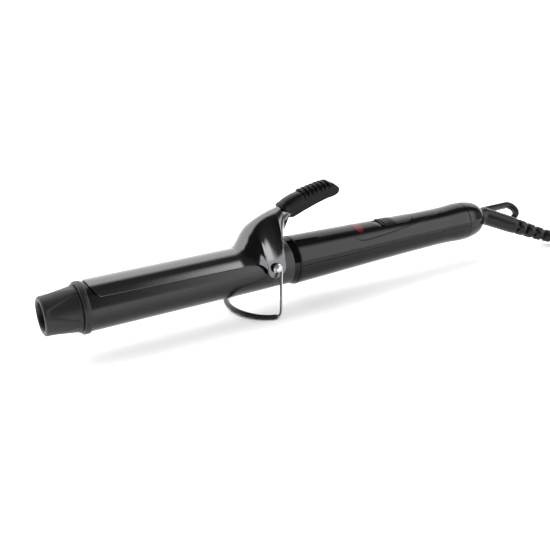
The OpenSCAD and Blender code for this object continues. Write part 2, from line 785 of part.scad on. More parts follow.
// Turn a point drawn in the swivel's plane into the iron's frame
function swivelled(p) = [p[0], p[2] * sin(boot_turn), p[2] * cos(boot_turn)];
boot_tip = swivelled(boot_end);
relief_end = [262, -38, 4.2 - axis_h];
relief_bend = [boot_tip + 20 * [cos(boot_bend), -sin(boot_bend) * sin(boot_turn),
                                -sin(boot_bend) * cos(boot_turn)], [250, -25, 4.6 - axis_h]];
function bezier(a, b, c, d, t) =
    pow(1 - t, 3) * a + 3 * pow(1 - t, 2) * t * b + 3 * (1 - t) * t * t * c + t * t * t * d;
function relief_point(t) = bezier(boot_tip, relief_bend[0], relief_bend[1], relief_end, t);
cord_r = cord_d / 2;

module strain_relief() {
    ribs = 6;
    rise = 0.6;
    // each rib is a narrow start, a full stretch and a narrow end
    steps = [for (i = [0:ribs - 1]) each [[i + 0.02, 0], [i + 0.22, 0], [i + 0.26, 1], [i + 0.96, 1]]];
    marks = concat([for (s = steps) [s[0] / ribs, s[1]]], [[1, 0]]);
    path = [for (m = marks) relief_point(m[0])];
    radii = [for (m = marks) 6.5 - 2.4 * m[0] - (1 - m[1]) * (rise + 1.2 * (1 - m[0]))];
    color(black) on_axis() swept(path, radii, 12);
}

// Route of the cord from the strain relief to the coil, on the table
cord_route = [[225.5, -38, 4.2], [230, -42.9, 3.6], [235.5, -47.4, 3.1], [243, -51, 3], [252, -53, 3],
              [264, -52.5, 3], [276, -50.5, 3], [288, -48.7, 3], [296, -48.1, 3], [302, -48, 3]];
coil_centre = [302, -11];
coil_turn_r = [31, 37];
coil_h = 4 * cord_d;
// Route from the top of the coil to the plug
tail_route = [[271, -11, 22], [271.4, -18, 24.6], [273.2, -25, 26.8], [277, -31, 28.2],
              [282, -35, 29.4], [287, -36.6, 30.4], [292, -37, 31]];

module cord_tube() {
    color(black) {
        swept(cord_route, [for (p = cord_route) cord_r], 10);
        swept(tail_route, [for (p = tail_route) cord_r], 10);
    }
}

module cord_coil() {
    color(black) translate([coil_centre[0], coil_centre[1], 0]) rotate_extrude()
        translate([coil_turn_r[0] - cord_r, 0])
            square([coil_turn_r[1] - coil_turn_r[0] + cord_d, coil_h]);
}

module coil_tie() {
    inner = coil_turn_r[0] - cord_r;
    outer = coil_turn_r[1] + cord_r;
    color("dimgray") translate([coil_centre[0], coil_centre[1], 0]) rotate([0, 0, 40]) difference() {
        block([inner - 1.2, -4, 0], [outer + 1.2, 4, coil_h + 1.2]);
        difference() {
            translate([0, 0, -1]) cylinder(h = coil_h + 1, r = outer + 0.02, $fn = 96);
            translate([0, 0, -2]) cylinder(h = coil_h + 3, r = inner - 0.02, $fn = 96);
        }
    }
}

plug_at = [292, -37, 31];
plug_body_len = 36;
plug_boot_len = 14;
pin_gap = 19;
module plug_body() {
    color(black) translate(plug_at) {
        rod_x(0, plug_boot_len, 4, 5.2);
        translate([plug_boot_len, 0, 0]) rotate([90, 0, 90]) linear_extrude(height = plug_body_len)
            plug_section();
    }
}

// Flat plug section: a long hexagon, 35 wide and 14 high
module plug_section() polygon([[-17.5, -2], [-13.5, -7], [13.5, -7], [17.5, -2], [17.5, 2], [13.5, 7],
                               [-13.5, 7], [-17.5, 2]]);

module plug_pins() {
    color(steel) translate(plug_at) for (side = [-1, 1]) translate([0, side * pin_gap / 2, 0]) difference() {
        x = plug_boot_len + plug_body_len;
        union() {
            rod_x(x, x + 18, 2);
            rod_x(x + 18, x + 19, 2, 1.2);
        }
    }
}

barrel();
cool_tip();
end_ring();
tip_insulator();
tip_screw();
heat_spreaders();
heating_stones();
electrodes();
thermal_fuse();
temperature_sensor();
heater_leads();
heat_collar();
collar_screws();
pivot_rivets();
clamp_spoon();
lever_grip();
clamp_springs();
stand_wire();
stand_sleeve();
handle_ring();
handle_upper();
handle_lower();
shell_screws();
control_panel();
lamp_lens();
indicator_lamp();
power_slider();
switch_body();
circuit_board();
board_screws();
terminal_block();
power_component();
rear_cap();
swivel_bush();
contact_springs();
swivel_core();
contact_rings();
swivel_boot();
strain_relief();
cord_tube();
cord_coil();
coil_tie();
plug_body();
plug_pins();
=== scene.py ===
import bmesh
import bpy
import json
import math
import numpy as np
from mathutils import Matrix, Vector


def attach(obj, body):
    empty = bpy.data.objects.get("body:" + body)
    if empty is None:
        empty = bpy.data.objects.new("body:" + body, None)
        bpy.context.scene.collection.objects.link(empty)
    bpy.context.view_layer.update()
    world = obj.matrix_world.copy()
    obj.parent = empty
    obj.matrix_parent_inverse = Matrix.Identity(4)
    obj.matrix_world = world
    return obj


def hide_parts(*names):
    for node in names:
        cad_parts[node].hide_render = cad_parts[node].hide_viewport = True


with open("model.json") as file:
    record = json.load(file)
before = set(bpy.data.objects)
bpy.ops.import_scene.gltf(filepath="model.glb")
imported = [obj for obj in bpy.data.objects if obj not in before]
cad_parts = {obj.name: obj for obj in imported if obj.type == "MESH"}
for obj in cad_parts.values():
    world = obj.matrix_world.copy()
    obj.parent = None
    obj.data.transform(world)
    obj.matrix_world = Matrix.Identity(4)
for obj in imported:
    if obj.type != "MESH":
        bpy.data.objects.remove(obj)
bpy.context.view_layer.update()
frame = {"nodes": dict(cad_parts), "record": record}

# Lengths along the iron are in millimetres from the joint of barrel and handle, heights from its axis.
JOINT_X = -36.5
AXIS_H = 27.0


def row(points):
    """Points given in the shared frame in millimetres, in metres."""
    return [Vector((p[0] / 1000, p[1] / 1000, p[2] / 1000)) for p in points]


# ---------------- camera ----------------
cam_data = bpy.data.cameras.new("camera")
cam_data.lens = 50
cam_data.sensor_width = 36
cam_data.clip_start = 0.01
cam_data.clip_end = 50
camera = bpy.data.objects.new("camera", cam_data)
right = Vector((0.8597, -0.5100, -0.0344))
up = Vector((0.2039, 0.2804, 0.9380))
back = right.cross(up)
turn = Matrix((right, up, back)).transposed().to_4x4()
camera.matrix_world = Matrix.Translation((-0.2884, -0.4367, 0.2035)) @ turn
bpy.context.scene.collection.objects.link(camera)
bpy.context.scene.camera = camera

# ---------------- materials ----------------


def material(name, base, rough, metal=0.0, coat=0.0, vary=0.12, rough_vary=0.06, grain=1800.0, bump=0.02,
             bump_mm=0.02, wear=0.0, ior=1.5, transmission=0.0):
    """Plastic or metal whose tone and gloss change slowly, with a fine grain on top."""
    m = bpy.data.materials.new(name)
    m.use_nodes = True
    t = m.node_tree
    b = t.nodes["Principled BSDF"]
    n = t.nodes.new
    link = t.links.new
    where = n("ShaderNodeTexCoord")
    slow = n("ShaderNodeTexNoise")
    slow.inputs["Scale"].default_value = 45.0
    slow.inputs["Detail"].default_value = 4.0
    fine = n("ShaderNodeTexNoise")
    fine.inputs["Scale"].default_value = grain
    fine.inputs["Detail"].default_value = 3.0
    link(where.outputs["Object"], slow.inputs["Vector"])
    link(where.outputs["Object"], fine.inputs["Vector"])
    both = n("ShaderNodeMix")
    both.inputs[0].default_value = 0.35
    link(slow.outputs["Fac"], both.inputs[2])
    link(fine.outputs["Fac"], both.inputs[3])
    tone = n("ShaderNodeValToRGB")
    tone.color_ramp.elements[0].position = 0.3
    tone.color_ramp.elements[1].position = 0.7
    tone.color_ramp.elements[0].color = [c * (1 - vary) for c in base] + [1]
    tone.color_ramp.elements[1].color = [min(c * (1 + vary) + 0.001 * vary, 1) for c in base] + [1]
    link(both.outputs[0], tone.inputs["Fac"])
    colour = tone.outputs["Color"]
    if wear:
        # edges rubbed lighter
        geo = n("ShaderNodeNewGeometry")
        edge = n("ShaderNodeMapRange")
        edge.inputs["From Min"].default_value = 0.53
        edge.inputs["From Max"].default_value = 0.62
        edge.inputs["To Max"].default_value = wear
        rub = n("ShaderNodeMix")
        rub.data_type = "RGBA"
        rub.inputs[7].default_value = [min(c * 1.6 + 0.06, 1) for c in base] + [1]
        link(geo.outputs["Pointiness"], edge.inputs["Value"])
        link(edge.outputs["Result"], rub.inputs[0])
        link(colour, rub.inputs[6])
        colour = rub.outputs[2]
    link(colour, b.inputs["Base Color"])
    gloss = n("ShaderNodeMapRange")
    gloss.inputs["From Min"].default_value = 0.3
    gloss.inputs["From Max"].default_value = 0.7
    gloss.inputs["To Min"].default_value = max(rough - rough_vary, 0.01)
    gloss.inputs["To Max"].default_value = min(rough + rough_vary, 1)
    link(both.outputs[0], gloss.inputs["Value"])
    link(gloss.outputs["Result"], b.inputs["Roughness"])
    dent = n("ShaderNodeBump")
    dent.inputs["Strength"].default_value = bump
    dent.inputs["Distance"].default_value = bump_mm / 1000
    link(fine.outputs["Fac"], dent.inputs["Height"])
    link(dent.outputs["Normal"], b.inputs["Normal"])
    b.inputs["Metallic"].default_value = metal
    b.inputs["IOR"].default_value = ior
    b.inputs["Coat Weight"].default_value = coat
    b.inputs["Transmission Weight"].default_value = transmission
    return m


def brushed(name, base, rough):
    """Metal with fine lines along one direction."""
    m = material(name, base, rough, metal=1.0, bump=0.05, grain=400.0)
    t = m.node_tree
    where = next(x for x in t.nodes if x.bl_idname == "ShaderNodeTexCoord")
    fine = [x for x in t.nodes if x.bl_idname == "ShaderNodeTexNoise"][1]
    squeeze = t.nodes.new("ShaderNodeMapping")
    squeeze.inputs["Scale"].default_value = (1.0, 1.0, 60.0)
    t.links.new(where.outputs["Object"], squeeze.inputs["Vector"])
    t.links.new(squeeze.outputs["Vector"], fine.inputs["Vector"])
    return m


M = {
    "barrel_coat": material("barrel_coat", (0.002, 0.002, 0.0022), 0.22, ior=1.5, vary=0.2,
                            rough_vary=0.03, bump=0.02),
    "tip_plastic": material("tip_plastic", (0.012, 0.012, 0.0125), 0.42, ior=1.4, bump=0.2, bump_mm=0.03, grain=2600,
                            wear=0.15),
    "ceramic": material("ceramic", (0.8, 0.76, 0.66), 0.7, bump=0.3, bump_mm=0.05),
    "steel": brushed("steel", (0.58, 0.58, 0.6), 0.28),
    "alloy": brushed("alloy", (0.72, 0.72, 0.73), 0.4),
    "brass": brushed("brass", (0.76, 0.58, 0.26), 0.3),
    "lead_sheath": material("lead_sheath", (0.72, 0.7, 0.62), 0.8, bump=0.5, bump_mm=0.1, grain=1200),
    "collar_plastic": material("collar_plastic", (0.012, 0.012, 0.013), 0.4, bump=0.2, bump_mm=0.03, grain=2600,
                               wear=0.1),
    "black_chrome": material("black_chrome", (0.145, 0.145, 0.15), 0.12, metal=1.0, vary=0.05, rough_vary=0.02,
                             bump=0.012),
    "grip_plastic": material("grip_plastic", (0.0035, 0.0035, 0.0038), 0.3, ior=1.24, bump=0.15, bump_mm=0.02,
                             grain=2600, wear=0.05),
    "chrome_wire": material("chrome_wire", (0.45, 0.45, 0.46), 0.2, metal=1.0, vary=0.08, bump=0.03),
    "sleeve_rubber": material("sleeve_rubber", (0.008, 0.008, 0.008), 0.45, ior=1.4, bump=0.2, bump_mm=0.03),
    "handle_gloss": material("handle_gloss", (0.003, 0.003, 0.0034), 0.11, ior=1.34, vary=0.2, rough_vary=0.02,
                             bump=0.01, wear=0.03),
    "panel_gloss": material("panel_gloss", (0.003, 0.003, 0.0034), 0.13, ior=1.34, vary=0.2, rough_vary=0.02,
                            bump=0.01, wear=0.03),
    "red_lens": material("red_lens", (0.1, 0.007, 0.009), 0.18, ior=1.35, transmission=0.1, vary=0.3, bump=0.05),
    "lamp_glass": material("lamp_glass", (0.9, 0.4, 0.25), 0.15, transmission=0.5),
    "slider_plastic": material("slider_plastic", (0.006, 0.006, 0.0065), 0.28, ior=1.42, bump=0.15, bump_mm=0.02,
                               grain=2600, wear=0.12),
    "part_grey": material("part_grey", (0.1, 0.1, 0.11), 0.5, bump=0.1),
    "board": material("board", (0.03, 0.18, 0.07), 0.4, coat=0.3),
    "nylon": material("nylon", (0.82, 0.8, 0.72), 0.45, bump=0.1),
    "boot_rubber": material("boot_rubber", (0.005, 0.005, 0.0055), 0.34, ior=1.36, bump=0.25, bump_mm=0.03, grain=2400,
                            wear=0.05),
    "cord_rubber": material("cord_rubber", (0.007, 0.007, 0.0075), 0.4, ior=1.4, bump=0.2, bump_mm=0.03, grain=2000),
    "tie_plastic": material("tie_plastic", (0.04, 0.04, 0.04), 0.5, bump=0.2),
    "plug_plastic": material("plug_plastic", (0.014, 0.014, 0.015), 0.45, bump=0.3, bump_mm=0.03, grain=2200,
                             wear=0.3),
    "pin_brass": material("pin_brass", (0.75, 0.74, 0.72), 0.2, metal=1.0, bump=0.03),
}


def mesh_object(name, points, faces, slot, smooth=True):
    me = bpy.data.meshes.new(name)
    me.from_pydata([tuple(p) for p in points], [], [tuple(f) for f in faces])
    me.validate()
    me.update()
    me.shade_smooth() if smooth else me.shade_flat()
    o = bpy.data.objects.new(name, me)
    bpy.context.scene.collection.objects.link(o)
    me.materials.append(M[slot])
    return o


def keep_sharp(o, degrees):
    """Edges sharper than this stay sharp."""
    o.data.set_sharp_from_angle(angle=math.radians(degrees))


# ---------------- cord ----------------
CORD_ROUTE = [(225.5, -38, 4.2), (230, -42.9, 3.6), (235.5, -47.4, 3.1), (243, -51, 3), (252, -53, 3),
              (264, -52.5, 3), (276, -50.5, 3), (288, -48.7, 3), (296, -48.1, 3), (302, -48, 3)]
TAIL_ROUTE = [(271, -11, 22), (271.4, -18, 24.6), (273.2, -25, 26.8), (277, -31, 28.2), (282, -35, 29.4),
              (287, -36.6, 30.4), (292, -37, 31)]
COIL_CENTRE = (302.0, -11.0)
COIL_R = (31.0, 37.0)
CORD_R = 3.0
STEPS_A_TURN = 24
COIL_STEPS = 187
STEP_UP = 0.06  # part of a turn on each side of a change of level


def signed_power(v, power):
    """v to a power, with its own sign: below 1 it makes a circle squarer."""
    return math.copysign(abs(v) ** power, v)


def ease(t):
    t = min(max(t, 0.0), 1.0)
    return t * t * (3 - 2 * t)


def coil_point(t):
    """Point on the coil after t turns: an outer turn and an inner one at each level, then up."""
    turn_no = math.floor(t + STEP_UP)
    part = ease((t - (turn_no - STEP_UP)) / (2 * STEP_UP)) if turn_no > 0 else 1.0

    def lies_at(k):
        k = max(k, 0)
        return (COIL_R[1] if k % 2 == 0 else COIL_R[0]), CORD_R + 2 * CORD_R * (k // 2)
    r0, z0 = lies_at(turn_no - 1)
    r1, z1 = lies_at(turn_no)
    r = r0 + (r1 - r0) * part
    z = z0 + (z1 - z0) * part
    a = math.radians(-90 + 360 * t)
    return (COIL_CENTRE[0] + r * math.cos(a), COIL_CENTRE[1] + r * math.sin(a), z)


cord_points = CORD_ROUTE[:-1] + [coil_point(i / STEPS_A_TURN) for i in range(COIL_STEPS)] + TAIL_ROUTE[1:]
curve = bpy.data.curves.new("mains_cord", "CURVE")
curve.dimensions = "3D"
spline = curve.splines.new("NURBS")
spline.points.add(len(cord_points) - 1)
for p, q in zip(spline.points, row(cord_points)):
    p.co = (*q, 1)
spline.order_u = 3
spline.use_endpoint_u = True
curve.bevel_depth = CORD_R / 1000
curve.bevel_resolution = 5
curve.resolution_u = 3
curve.use_fill_caps = True
cord = bpy.data.objects.new("mains_cord", curve)
bpy.context.scene.collection.objects.link(cord)
curve.materials.append(M["cord_rubber"])
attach(cord, "cord_swivel")
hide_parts("cord_tube", "cord_coil")

# ---------------- tools for the meshes below ----------------


def catmull(keys, n):
    """Smooth curve through the rows of keys, n steps for each span."""
    k = np.array(keys, float)
    out = []
    for i in range(len(k) - 1):
        p0, p1, p2, p3 = k[max(i - 1, 0)], k[i], k[i + 1], k[min(i + 2, len(k) - 1)]
        for t in np.linspace(0, 1, n, endpoint=False):
            out.append(0.5 * (2 * p1 + (p2 - p0) * t + (2 * p0 - 5 * p1 + 4 * p2 - p3) * t ** 2
                              + (3 * p1 - p0 - 3 * p2 + p3) * t ** 3))
    out.append(k[-1])
    return np.array(out)


def iron(points):
    """Points in millimetres on the iron's own axis, as metres in the shared frame."""
    return (np.array(points, float) + (JOINT_X, 0, AXIS_H)) / 1000


def loft(name, rings, slot, around=True, cap=True, sharp=None):
    """Mesh over equal rings of points, closed around and capped where asked."""
    rings = np.array(rings, float)
    n, m = rings.shape[:2]
    pts = rings.reshape(-1, 3)
    wrap = m if around else m - 1
    faces = [(i * m + k, i * m + (k + 1) % m, (i + 1) * m + (k + 1) % m, (i + 1) * m + k)
             for i in range(n - 1) for k in range(wrap)]
    if cap:
        faces.append(tuple(range(m))[::-1])
        faces.append(tuple((n - 1) * m + k for k in range(m)))
    o = mesh_object(name, iron(pts), faces, slot)
    if sharp:
        keep_sharp(o, sharp)
    return o


def turned(name, outline, slot, steps=160, sharp=40, closed=True):
    """Outline of (x, radius) turned about the iron's axis."""
    a = np.linspace(0, 2 * np.pi, steps, endpoint=False)
    rings = [[(x, r * np.sin(t), r * np.cos(t)) for t in a] for x, r in outline]
    if closed:
        rings.append(rings[0])
    return loft(name, rings, slot, cap=not closed, sharp=sharp)


def tube(name, points, radii, slot, sides=20, in_row=False):
    """Round bar along points, with its own radius at each."""
    p = np.array(points, float)
    radii = np.broadcast_to(radii, len(p))
    d = np.gradient(p, axis=0)
    d /= np.linalg.norm(d, axis=1)[:, None]
    u = np.cross(d[0], (1, 0, 0) if abs(d[0][2]) > 0.9 else (0, 0, 1))
    rings = []
    for q, t, r in zip(p, d, radii):
        u = u - np.dot(u, t) * t
        u /= np.linalg.norm(u)
        v = np.cross(u, t)
        rings.append([q + r * (math.cos(a) * u + math.sin(a) * v)
                      for a in np.linspace(0, 2 * np.pi, sides, endpoint=False)])
    if in_row:
        rings = np.array(rings) - (JOINT_X, 0, AXIS_H)
    return loft(name, rings, slot, sharp=50)


def join(name, objects, slot):
    """Several meshes as one piece."""
    bpy.ops.object.select_all(action="DESELECT")
    for o in objects:
        o.select_set(True)
    bpy.context.view_layer.objects.active = objects[0]
    if len(objects) > 1:
        bpy.ops.object.join()
    o = bpy.context.object
    o.name = name
    o.data.name = name
    o.data.materials.clear()
    o.data.materials.append(M[slot])
    for poly in o.data.polygons:
        poly.material_index = 0
    return o


def place(o, body, *nodes):
    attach(o, body)
    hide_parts(*nodes)
    return o


PIVOT = (-9.5, 4.0)

# ---------------- cool tip, its ring and the collar ----------------
TIP_X, RING_FRONT, RING_BACK = -163.5, -141.0, -136.5


def tip_radius(x, a):
    """The tip's cone with four broad shallow fans, narrow in front and wide at the ring."""
    f = (x - TIP_X) / (RING_FRONT - TIP_X)
    cone = 12.4 + (15.5 - 12.4) * f
    off = abs((math.degrees(a) + 67 + 45) % 90 - 45)
    half_fan = 6 + 35 * f ** 0.8
    return cone - 0.6 * ease((half_fan - off) / 6) * ease(f / 0.2) * ease((0.95 - f) / 0.06)


angles = np.linspace(0, 2 * np.pi, 240, endpoint=False)
rings = []
for x, r in ((TIP_X + 15.4, 8.9), (TIP_X + 3, 9.1), (TIP_X + 1.2, 9.2), (TIP_X + 0.5, 9.5), (TIP_X + 0.12, 10.1),
             (TIP_X, 10.8), (TIP_X + 0.12, 11.5), (TIP_X + 0.5, 12.05)):
    rings.append([(x, r * math.sin(t), r * math.cos(t)) for t in angles])
for x in np.linspace(TIP_X + 1.1, RING_FRONT - 1.2, 60):
    rings.append([(x, tip_radius(x, t) * math.sin(t), tip_radius(x, t) * math.cos(t)) for t in angles])
for x, r in ((RING_FRONT - 0.7, 15.25), (RING_FRONT - 0.3, 15.0), (RING_FRONT, 14.6)):
    rings.append([(x, r * math.sin(t), r * math.cos(t)) for t in angles])
tip = loft("cool_tip_shell", rings, "tip_plastic", cap=False, sharp=50)
floor_disc = turned("cool_tip_floor", [(TIP_X + 15.45, 9.0), (TIP_X + 15.5, 6), (TIP_X + 15.5, 3.2),
                                       (TIP_X + 16.4, 3.0), (TIP_X + 16.4, 0.01)], "tip_plastic", closed=False)
place(join("cool_tip_skin", [tip, floor_disc], "tip_plastic"), "iron", "cool_tip")
place(turned("end_ring_skin", [(RING_FRONT, 14.4), (RING_FRONT + 0.05, 15.9), (RING_FRONT + 0.25, 16.45),
                               (RING_FRONT + 0.7, 16.75), (RING_FRONT + 1.3, 16.88), (RING_BACK - 1.1, 16.88),
                               (RING_BACK - 0.5, 16.78), (RING_BACK - 0.12, 16.5), (RING_BACK, 16.0),
                               (RING_BACK, 15.2)], "tip_plastic"), "iron", "end_ring")

# ---------------- clamp sheet ----------------
SHEET_T = 0.7
SPOON_R = 16 + 0.3 + SHEET_T / 2
KNEE = -29.5
NOSE_X, NOSE_LEN = -128.5, 6.2
EAR_R, EAR_Y = 7, 18.9
EDGE_BULGE = 0.22


def spoon_row(x):
    """One row of the sheet round the barrel, with a rounded nose in front."""
    grow = 55 + 6 * (x - NOSE_X) / (KNEE - NOSE_X)
    cut = max((NOSE_X - x) / NOSE_LEN, 0)
    a = max(grow * math.sqrt(max(1 - cut * cut, 0)), 8)
    return [x, SPOON_R, x, SPOON_R * math.sin(math.radians(a)), SPOON_R * math.cos(math.radians(a)), a]


def ear_row(top_x, top_z, a, arc):
    """One row whose lower edge lies on the ear, round the pivot."""
    a = math.radians(a)
    return [top_x, top_z, PIVOT[0] + EAR_R * math.cos(a), EAR_Y, PIVOT[1] + EAR_R * math.sin(a), arc]


neck_rows = [[KNEE + 0.8, 18.1, KNEE + 2.5, 14.9, 8.4, 62], [KNEE + 3.2, 21.6, KNEE + 6.5, 15.4, 8.3, 66],
             [-23.4, 26.2, -19.3, 16.8, 7.2, 74], ear_row(-20, 29.6, 178, 84), ear_row(-16.6, 32.1, 215, 88),
             ear_row(-12.6, 34.3, 262, 88), ear_row(-8.2, 36.1, 310, 88), ear_row(-4.6, 37.3, 355, 88),
             [-1.6, 38.2, -4.1, 17.8, 11.7, 86], [2, 39.2, -2.4, 14.4, 18.3, 84], [6, 40.4, 0.9, 10.3, 23.6, 82],
             [10.5, 41.7, 5.9, 7, 29.4, 82], [15, 43, 11.5, 5, 35, 82], [25, 45.4, 24.5, 4.6, 41, 82]]
spoon = [spoon_row(NOSE_X - NOSE_LEN * math.cos(t)) for t in np.linspace(0, math.pi / 2, 16)]
spoon += [spoon_row(x) for x in np.linspace(-127, KNEE - 2, 40)]
neck = catmull([spoon_row(KNEE - 2)] + neck_rows, 9)[1:]
sheet_rows = np.array(list(spoon) + list(neck))
V = np.linspace(-1, 1, 49)
arc = np.radians(sheet_rows[:, 5])[:, None]
swing = arc * np.abs(V)[None, :]
share = (1 - np.cos(swing)) / (1 - np.cos(arc))
mid = np.stack([sheet_rows[:, 0:1] + (sheet_rows[:, 2:3] - sheet_rows[:, 0:1]) * share,
                np.sign(V)[None, :] * sheet_rows[:, 3:4] * np.sin(swing) / np.sin(arc),
                sheet_rows[:, 1:2] + (sheet_rows[:, 4:5] - sheet_rows[:, 1:2]) * share], -1)
along = np.gradient(mid, axis=0)
across = np.gradient(mid, axis=1)
normal = np.cross(along, across)
normal /= np.linalg.norm(normal, axis=2)[:, :, None]
outward = across / np.linalg.norm(across, axis=2)[:, :, None]
outer = mid + normal * SHEET_T / 2
inner = mid - normal * SHEET_T / 2
edge_a = mid[:, :1] - outward[:, :1] * EDGE_BULGE
edge_b = mid[:, -1:] + outward[:, -1:] * EDGE_BULGE
loops = np.concatenate([outer, edge_b, inner[:, ::-1], edge_a], axis=1)
sheet = loft("clamp_sheet", loops, "black_chrome", sharp=32)
place(sheet, "clamp", "clamp_spoon")

# ---------------- lever grip ----------------
GRIP_HALF = 6.5
GRIP_RIBS, FIRST_RIB, RIB_PITCH, RIB_R = 7, 22.6, 3.35, 1.05
grip_top = catmull([(4, 41), (9, 44.3), (13.5, 46.3), (19.5, 48), (30, 50.2), (41, 52), (46.8, 51.4),
                    (50.6, 48.6)], 6)
grip_low = catmull([(10, 33), (13, 31.7), (17, 32.8), (22, 34.6), (32, 37.9), (42, 40.6), (47.4, 41.4),
                    (51.4, 43.2)], 6)
half = [(0, 1), (0.3, 0.985), (0.55, 0.94), (0.76, 0.84), (0.9, 0.67), (0.975, 0.42), (1.0, 0.16), (1.0, 0.0),
        (0.9, -0.05), (0.86, -0.4), (0.81, -0.75), (0.72, -0.93), (0.55, -1.0), (0, -1.0)]
section = half + [(-u, v) for u, v in half[-2:0:-1]]


def grip_ring(t, b, wide, grow=1.0, shift=0.0):
    """One section of the grip between a point on its top line and one on its low line."""
    c = (np.array(t) + np.array(b)) / 2
    up_half = (np.array(t) - np.array(b)) / 2 * grow
    along_dir = np.array([up_half[1], -up_half[0]]) / np.linalg.norm(up_half)
    return [(c[0] + up_half[0] * v + along_dir[0] * shift, GRIP_HALF * wide * grow * u,
             c[1] + up_half[1] * v + along_dir[1] * shift) for u, v in section]


count = len(grip_top)
rings = [grip_ring(grip_top[0], grip_low[0], 0.97, 0.84, 0.1), grip_ring(grip_top[0], grip_low[0], 0.97, 0.95, 0.0),
         grip_ring(grip_top[0], grip_low[0], 0.97, 1.0, 0.45)]
for i in range(1, count):
    f = i / (count - 1)
    rim = 1.045 - 0.045 * ease((f - 0.06) / 0.05)
    wide = (0.97 + 0.04 * f) * (1 - 0.05 * ease((f - 0.93) / 0.07))
    sunk_in = 0.8 * ease((grip_top[i, 0] - 20.5) / 1.2) * ease((45.5 - grip_top[i, 0]) / 1.2)
    rings.append(grip_ring(grip_top[i] - (0, sunk_in), grip_low[i], wide, rim if f < 0.12 else 1.0))
rings.append(grip_ring(grip_top[-1], grip_low[-1], 0.96, 0.97, 0.2))
rings.append(grip_ring(grip_top[-1], grip_low[-1], 0.94, 0.9, 0.42))
rings.append(grip_ring(grip_top[-1], grip_low[-1], 0.92, 0.8, 0.55))
pieces = [loft("grip_body", rings, "grip_plastic", sharp=38)]
bow = [(-0.985, 0.25), (-0.96, 0.5), (-0.88, 0.72), (-0.74, 0.87), (-0.5, 0.97), (-0.25, 1.03), (0, 1.045),
       (0.25, 1.03), (0.5, 0.97), (0.74, 0.87), (0.88, 0.72), (0.96, 0.5), (0.985, 0.25)]
for i in range(GRIP_RIBS):
    x = FIRST_RIB + RIB_PITCH * i
    t = np.array([x, np.interp(x, grip_top[:, 0], grip_top[:, 1])])
    b = grip_low[int(np.argmin(np.abs(grip_low[:, 0] - x - 1.5)))]
    c = (t + b) / 2
    h = (t - b) / 2
    line = catmull([(c[0] + h[0] * v, 6.45 * u, c[1] + h[1] * v) for u, v in bow], 4)
    size = RIB_R * np.sin(np.linspace(0.12, math.pi - 0.12, len(line))) ** 0.3
    pieces.append(tube("grip_rib", line, size, "grip_plastic", sides=12))
place(join("lever_grip_skin", pieces, "grip_plastic"), "clamp", "lever_grip")

# ---------------- stand ----------------
EYE_R, EYE_Y = 2.58, 20.6
FOOT = np.array((-14.5, 30.9, -25.4))
FOOT_REACH = 20.6
eye = [(PIVOT[0] + EYE_R * math.cos(math.radians(a)), EYE_Y, PIVOT[1] + EYE_R * math.sin(math.radians(a)))
       for a in range(235, -16, -10)]
leg_top = np.array(eye[-1])
foot_curve = [(FOOT[0] - FOOT_REACH * math.cos(math.radians(a)), FOOT[1] * math.sin(math.radians(a)), FOOT[2])
              for a in np.linspace(82.5, -82.5, 67)]
leg_turn = FOOT + 4 * (leg_top - FOOT) / np.linalg.norm(leg_top - FOOT)
corner = [(1 - t) ** 2 * leg_turn + 2 * t * (1 - t) * FOOT + t * t * np.array(foot_curve[0])
          for t in np.linspace(0, 0.92, 12)]
half_wire = eye + [tuple(leg_top + (leg_turn - leg_top) * f) for f in (0.15, 0.4, 0.7)]
half_wire += [tuple(p) for p in corner]
whole_wire = half_wire + foot_curve + [(p[0], -p[1], p[2]) for p in half_wire[::-1]]
radii = np.full(len(whole_wire), 1.0)
radii[0] = radii[-1] = 0.7
place(tube("stand_wire_skin", whole_wire, radii, "chrome_wire"), "stand", "stand_wire")
sleeve_r = np.full(len(foot_curve), 1.6)
sleeve_r[[0, -1]] = 1.25
sleeve_r[[1, -2]] = 1.55
place(tube("stand_sleeve_skin", foot_curve, sleeve_r, "sleeve_rubber"), "stand", "stand_sleeve")

# ---------------- handle shells and rear cap ----------------
HANDLE_KEYS = [(12, 17.4), (40, 16.7), (80, 15.6), (118, 14.75), (148, 14.4), (160, 14.8), (166, 15.15),
               (171, 15.2)]
CAP_KEYS = [(171, 15.2), (176, 14.95), (180, 14.4), (183.5, 13.7), (186, 12.8), (188, 11.7), (190, 10.2),
            (191.2, 8.9), (191.8, 8)]
PANEL_KEYS = [(59, 0), (59.3, 7), (60.4, 11.2), (63.5, 13.5), (74, 13.6), (97, 12.2), (118, 10.2), (137, 7.8),
              (146, 5.6), (151, 0)]
HANDLE_LINE = catmull(HANDLE_KEYS, 12)
PANEL_LINE = catmull(PANEL_KEYS, 14)
PANEL_GAP = 0.3
SHELL_T = 1.6
SHELL_ENDS = (12, 171)


def handle_r(x):
    return float(np.interp(x, HANDLE_LINE[:, 0], HANDLE_LINE[:, 1]))


def panel_w(x):
    """Half the width of the control panel's opening at x, nothing outside its ends."""
    if x <= PANEL_KEYS[0][0] - PANEL_GAP or x >= PANEL_KEYS[-1][0] + PANEL_GAP:
        return 0.0
    return float(np.interp(x, PANEL_LINE[:, 0], PANEL_LINE[:, 1])) * (1 + PANEL_GAP / 13.5) + PANEL_GAP / 3


def shell_end(x):
    """How far the shell's surface dips beside its two ends."""
    return 0.28 * (1 - ease(min(x - SHELL_ENDS[0], SHELL_ENDS[1] - x) / 0.3))


